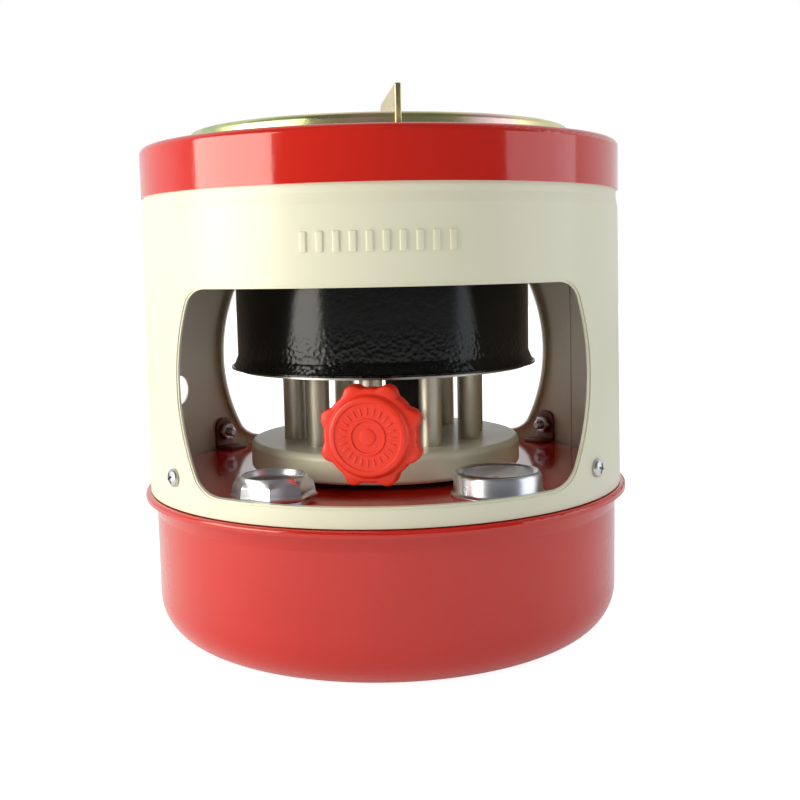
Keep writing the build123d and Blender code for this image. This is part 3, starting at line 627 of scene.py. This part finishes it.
wick = turned("wicks_piece", (0, -wick_circle), wick_profile, 24)
wick_places = []
for number in range(wick_count):
    wick_places.append(Matrix.Rotation(wick_first + 2 * pi * number / wick_count, 4, "Z"))
wicks = copies(wick, wick_places)
smooth(wicks, 60)
fit_out(wicks, "wick_lift", wick_cotton, "wick_cotton", "wicks")

# ---------------------------------------------------------------- burner
# The burner is a loose unit: a black enamelled drum round two perforated steel sleeves, which three pins
# hold together, with a steel flame spreader on top. The drum is hammered round its foot.
black_enamel, tree, shader, place = bare_material("black_enamel")
grain = place_group(tree, paint_grain, place)
marks = tree.nodes.new("ShaderNodeTexVoronoi")
marks.feature = "SMOOTH_F1"
marks.inputs["Scale"].default_value = 620
tree.links.new(place, marks.inputs["Vector"])
drum_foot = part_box("burner_drum")[0].z
height_of = tree.nodes.new("ShaderNodeSeparateXYZ")
tree.links.new(place, height_of.inputs["Vector"])
low_part = tree.nodes.new("ShaderNodeMapRange")
low_part.inputs["From Min"].default_value = drum_foot + 0.020
low_part.inputs["From Max"].default_value = drum_foot + 0.008
tree.links.new(height_of.outputs["Z"], low_part.inputs["Value"])
hammered = tree.nodes.new("ShaderNodeMath")
hammered.operation = "MULTIPLY"
tree.links.new(marks.outputs["Distance"], hammered.inputs[0])
tree.links.new(low_part.outputs["Result"], hammered.inputs[1])
drum_black = two_tones(tree, grain, (0.0010, 0.0013, 0.0011), (0.0030, 0.0036, 0.0030))
tree.links.new(drum_black, shader.inputs["Base Color"])
tree.links.new(between(tree, grain.outputs["Rub"], 0.13, 0.22), shader.inputs["Roughness"])
shader.inputs["Specular IOR Level"].default_value = 0.35
peel = raise_surface(tree, shader, grain.outputs["Peel"], 0.00004)
raise_surface(tree, shader, hammered.outputs[0], 0.00020, peel)
finish_nodes(black_enamel, "burner_drum")
sleeve_steel = plated("sleeve_steel", (0.40, 0.37, 0.30), (0.62, 0.60, 0.55), 0.26, 0.45, 0.00003, 0.00002)
finish_nodes(sleeve_steel, "burner_seat", "inner_sleeve", "outer_sleeve", "flame_spreader", "burner_pins")

# ---------------------------------------------------------------- pot plate
# The pot plate is a pressed steel ring under yellow zinc plate, which breaks into green, gold and pink. Three
# upright blades are let into its ridge.
yellow_zinc, tree, shader, place = bare_material("yellow_zinc")
grain = place_group(tree, metal_grain, place)
bands = tree.nodes.new("ShaderNodeValToRGB")
green = (0.46, 0.62, 0.30)
pale_gold = (0.72, 0.74, 0.36)
deep_gold = (0.84, 0.72, 0.42)
pink = (0.84, 0.60, 0.56)
hues = ((0.36, green), (0.46, pale_gold), (0.54, deep_gold), (0.64, pink))
while len(bands.color_ramp.elements) < len(hues):
    bands.color_ramp.elements.new(0.5)
for element, (spot_share, hue) in zip(bands.color_ramp.elements, hues):
    element.position = spot_share
    element.color = (*hue, 1)
tree.links.new(grain.outputs["Tone"], bands.inputs["Fac"])
tree.links.new(bands.outputs["Color"], shader.inputs["Base Color"])
tree.links.new(between(tree, grain.outputs["Smear"], 0.22, 0.42), shader.inputs["Roughness"])
shader.inputs["Metallic"].default_value = 1.0
raise_surface(tree, shader, grain.outputs["Pit"], 0.00003)
finish_nodes(yellow_zinc, "pot_plate")
pot_supports = softened("pot_supports", 0.0004)
fit_out(pot_supports, "pot_plate", yellow_zinc, "yellow_zinc", "pot_supports")

# ---------------------------------------------------------------- filler cap
# The cap is a chromed pressing with eight grips round its wall and a round dish in its top. It screws on to
# the zinc-plated neck over a rubber gasket.
chrome = plated("chrome", (0.76, 0.79, 0.86), (0.88, 0.90, 0.94), 0.26, 0.38, 0.000004, 0.00001)
cap_low, cap_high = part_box("filler_cap")
cap_spot = ((cap_low.x + cap_high.x) / 2, (cap_low.y + cap_high.y) / 2)
cap_lobes = 8
cap_ridge_radius = 0.0161
cap_flute_depth = 0.0019
cap_skirt = 0.01115
cap_roof_inside = 0.0702
cap_floor = 0.0710


def cap_outline(angle):
    """The cap's outline: wide hollow grips with a ridge between each two."""
    step = 2 * pi / cap_lobes
    away = abs((angle + step / 2) % step - step / 2) / (step / 2)
    return cap_ridge_radius - cap_flute_depth * (1 - (1 - away) ** 2)


bottom = cap_low.z
top = cap_high.z
cap_inside = [(0.00001, cap_roof_inside), (cap_skirt, cap_roof_inside), (cap_skirt, bottom)]
cap_wall = [(0.985, bottom), (1.0, bottom + 0.0003), (1.0, bottom + 0.0008), (0.965, bottom + 0.0013),
            (0.950, bottom + 0.0024), (0.930, top - 0.0034), (0.900, top - 0.0024)]
cap_crown = [(0.01262, top - 0.0013), (0.01242, top - 0.0005), (0.01205, top), (0.01170, top),
             (0.01135, top - 0.0005), (0.01100, top - 0.0020), (0.01040, cap_floor + 0.0003),
             (0.00960, cap_floor), (0.0050, cap_floor), (0.0046, cap_floor + 0.0002),
             (0, cap_floor + 0.0002)]
cap_corners = cap_lobes * 16
filler_cap = lobed_piece("filler_cap_piece", cap_spot, cap_inside, cap_wall, cap_outline, cap_crown,
                         cap_corners)
smooth(filler_cap, 40)
fit_out(filler_cap, "filler_cap", chrome, "chrome", "filler_cap")

# ---------------------------------------------------------------- fuel gauge
# A chromed ring clamps the clear window over a plain pale dial. A red pointer turns over the dial as the cork
# float rises in its brass tube.
bezel_low, bezel_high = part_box("gauge_bezel")
gauge_spot = ((bezel_low.x + bezel_high.x) / 2, (bezel_low.y + bezel_high.y) / 2)
bezel_foot = bezel_low.z
bezel_top = bezel_high.z
bezel_outer = (bezel_high.x - bezel_low.x) / 2
flange_radius = 0.0146
sight_radius = 0.0132
glass_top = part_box("gauge_glass")[1].z
bezel_profile = [(flange_radius, bezel_foot), (bezel_outer - 0.0002, bezel_foot),
                 (bezel_outer, bezel_foot + 0.0003), (bezel_outer, bezel_foot + 0.0008),
                 (bezel_outer - 0.0005, bezel_foot + 0.0013),
                 (bezel_outer - 0.0010, bezel_foot + 0.0020), (bezel_outer - 0.0013, bezel_top - 0.0016),
                 (bezel_outer - 0.0016, bezel_top - 0.0007), (bezel_outer - 0.0021, bezel_top - 0.0002),
                 (bezel_outer - 0.0027, bezel_top), (bezel_outer - 0.0033, bezel_top - 0.0002),
                 (sight_radius, glass_top + 0.0003), (sight_radius, glass_top), (flange_radius, glass_top),
                 (flange_radius, bezel_foot)]
gauge_bezel = turned("gauge_bezel_piece", gauge_spot, bezel_profile, 128)
smooth(gauge_bezel, 40)
fit_out(gauge_bezel, "stove", chrome, "chrome", "gauge_bezel")

dial_paint = enamel("dial_paint", (0.72, 0.73, 0.70), (0.80, 0.81, 0.78), 0.5, 0.6, 0.00002, 0.0)
pointer_paint = enamel("pointer_paint", (0.60, 0.02, 0.01), (0.68, 0.03, 0.02), 0.4, 0.5, 0.00002, 0.0)
float_cork = enamel("float_cork", (0.30, 0.18, 0.09), (0.48, 0.31, 0.17), 0.8, 0.95, 0.0004, 0.0, 3.0)
finish_nodes(dial_paint, "gauge_dial")
finish_nodes(pointer_paint, "gauge_pointer")
finish_nodes(float_cork, "gauge_float")
gauge_glass, tree, shader, place = bare_material("gauge_glass")
grain = place_group(tree, paint_grain, place)
tree.links.new(between(tree, grain.outputs["Rub"], 0.02, 0.06), shader.inputs["Roughness"])
shader.inputs["Base Color"].default_value = (0.95, 0.98, 0.97, 1)
shader.inputs["Alpha"].default_value = 0.22
finish_nodes(gauge_glass, "gauge_glass")

# ---------------------------------------------------------------- camera
# The camera stands close in front of the stove, level with its upper half, and looks a little down at it. Its
# three angles are in radians, and the roll is the small tilt of a camera held by hand.
camera_spot = (0, -0.47493, 0.15188)
lens_length = 50.98874
pitch, yaw, roll = 0.1241, 0.0137, -0.0203
view_forward = Vector((sin(yaw) * cos(pitch), cos(yaw) * cos(pitch), -sin(pitch)))
level_right = Vector((cos(yaw), -sin(yaw), 0))
level_up = level_right.cross(view_forward)
view_right = cos(roll) * level_right + sin(roll) * level_up
view_up = -sin(roll) * level_right + cos(roll) * level_up
camera_data = bpy.data.cameras.new("camera")
camera_data.sensor_width = 36
camera_data.lens = lens_length
camera = bpy.data.objects.new("camera", camera_data)
turn = Matrix((view_right, view_up, -view_forward)).transposed().to_4x4()
camera.matrix_world = Matrix.Translation(camera_spot) @ turn
bpy.context.scene.collection.objects.link(camera)
bpy.context.scene.camera = camera

# ---------------------------------------------------------------- lights and backdrop
# Two large soft boxes stand beside the stove, the left one warm and much the stronger. A third hangs over its
# front and isn't mirrored in the enamel. The white backdrop lights the stove from behind more than in front.

def softbox(name, azimuth, distance, height, width, tall, watts, colour, mirrored=True):
    """A rectangular soft light at this azimuth and height that faces the stove, mirrored in it or not."""
    lamp = bpy.data.lights.new(name, "AREA")
    lamp.shape = "RECTANGLE"
    lamp.size = width
    lamp.size_y = tall
    lamp.energy = watts
    lamp.color = colour
    light = bpy.data.objects.new(name, lamp)
    place = Vector((distance * sin(radians(azimuth)), -distance * cos(radians(azimuth)), height))
    aim = Vector((0, 0, 0.1)) - place
    light.visible_glossy = mirrored
    light.matrix_world = Matrix.Translation(place) @ aim.to_track_quat("-Z", "Y").to_matrix().to_4x4()
    bpy.context.scene.collection.objects.link(light)


softbox("left_light", -67, 0.84, 0.25, 0.64, 0.60, 6.8, (1.0, 0.97, 0.86))
softbox("right_light", 76, 0.79, 0.25, 0.59, 0.60, 1.5, (0.88, 0.94, 1.0))
softbox("top_light", 0, 0.75, 1.0, 0.90, 0.60, 3.2, (1.0, 0.99, 0.95), False)

bpy.context.scene.view_settings.view_transform = "Standard"
world = bpy.data.worlds.new("studio")
bpy.context.scene.world = world
world.use_nodes = True
tree = world.node_tree
backdrop = tree.nodes["Background"]
backdrop.inputs["Color"].default_value = (1, 1, 1, 1)
direction = tree.nodes.new("ShaderNodeTexCoord")
along = tree.nodes.new("ShaderNodeSeparateXYZ")
tree.links.new(direction.outputs["Generated"], along.inputs["Vector"])
behind = tree.nodes.new("ShaderNodeMapRange")
behind.inputs["From Min"].default_value = -0.1
behind.inputs["From Max"].default_value = 0.35
tree.links.new(along.outputs["Y"], behind.inputs["Value"])
path = tree.nodes.new("ShaderNodeLightPath")


def share_between(share, low, high):
    """Mix two strengths of the backdrop. Each is a number or another node's output."""
    mix = tree.nodes.new("ShaderNodeMix")
    tree.links.new(share, mix.inputs["Factor"])
    for socket, strength in (("A", low), ("B", high)):
        if isinstance(strength, float):
            mix.inputs[socket].default_value = strength
        else:
            tree.links.new(strength, mix.inputs[socket])
    return mix.outputs["Result"]


lighting = share_between(behind.outputs["Result"], 0.06, 0.85)
mirrored = share_between(behind.outputs["Result"], 0.12, 0.80)
unseen = share_between(path.outputs["Is Glossy Ray"], lighting, mirrored)
tree.links.new(share_between(path.outputs["Is Camera Ray"], unseen, 1.0), backdrop.inputs["Strength"])

# ---------------------------------------------------------------- floor
# The floor is white paper. It glows five times as strongly to the camera as it does on the stove, so that it
# runs into the white backdrop without an edge.
bpy.ops.object.select_all(action="DESELECT")
bpy.ops.mesh.primitive_plane_add(size=6, location=(0, 0, 0))
floor = settle("floor")
floor_paper, tree, shader, place = bare_material("floor_paper")
grain = place_group(tree, paint_grain, place, 0.2)
paper_white = two_tones(tree, grain, (0.82, 0.82, 0.82), (0.84, 0.84, 0.84))
tree.links.new(paper_white, shader.inputs["Base Color"])
shader.inputs["Roughness"].default_value = 0.9
path = tree.nodes.new("ShaderNodeLightPath")
glow = blend_colours(tree, path.outputs["Is Camera Ray"], (0.20, 0.20, 0.20), (1.0, 1.0, 1.0))
tree.links.new(glow, shader.inputs["Emission Color"])
shader.inputs["Emission Strength"].default_value = 0.90
floor.data.materials.append(floor_paper)
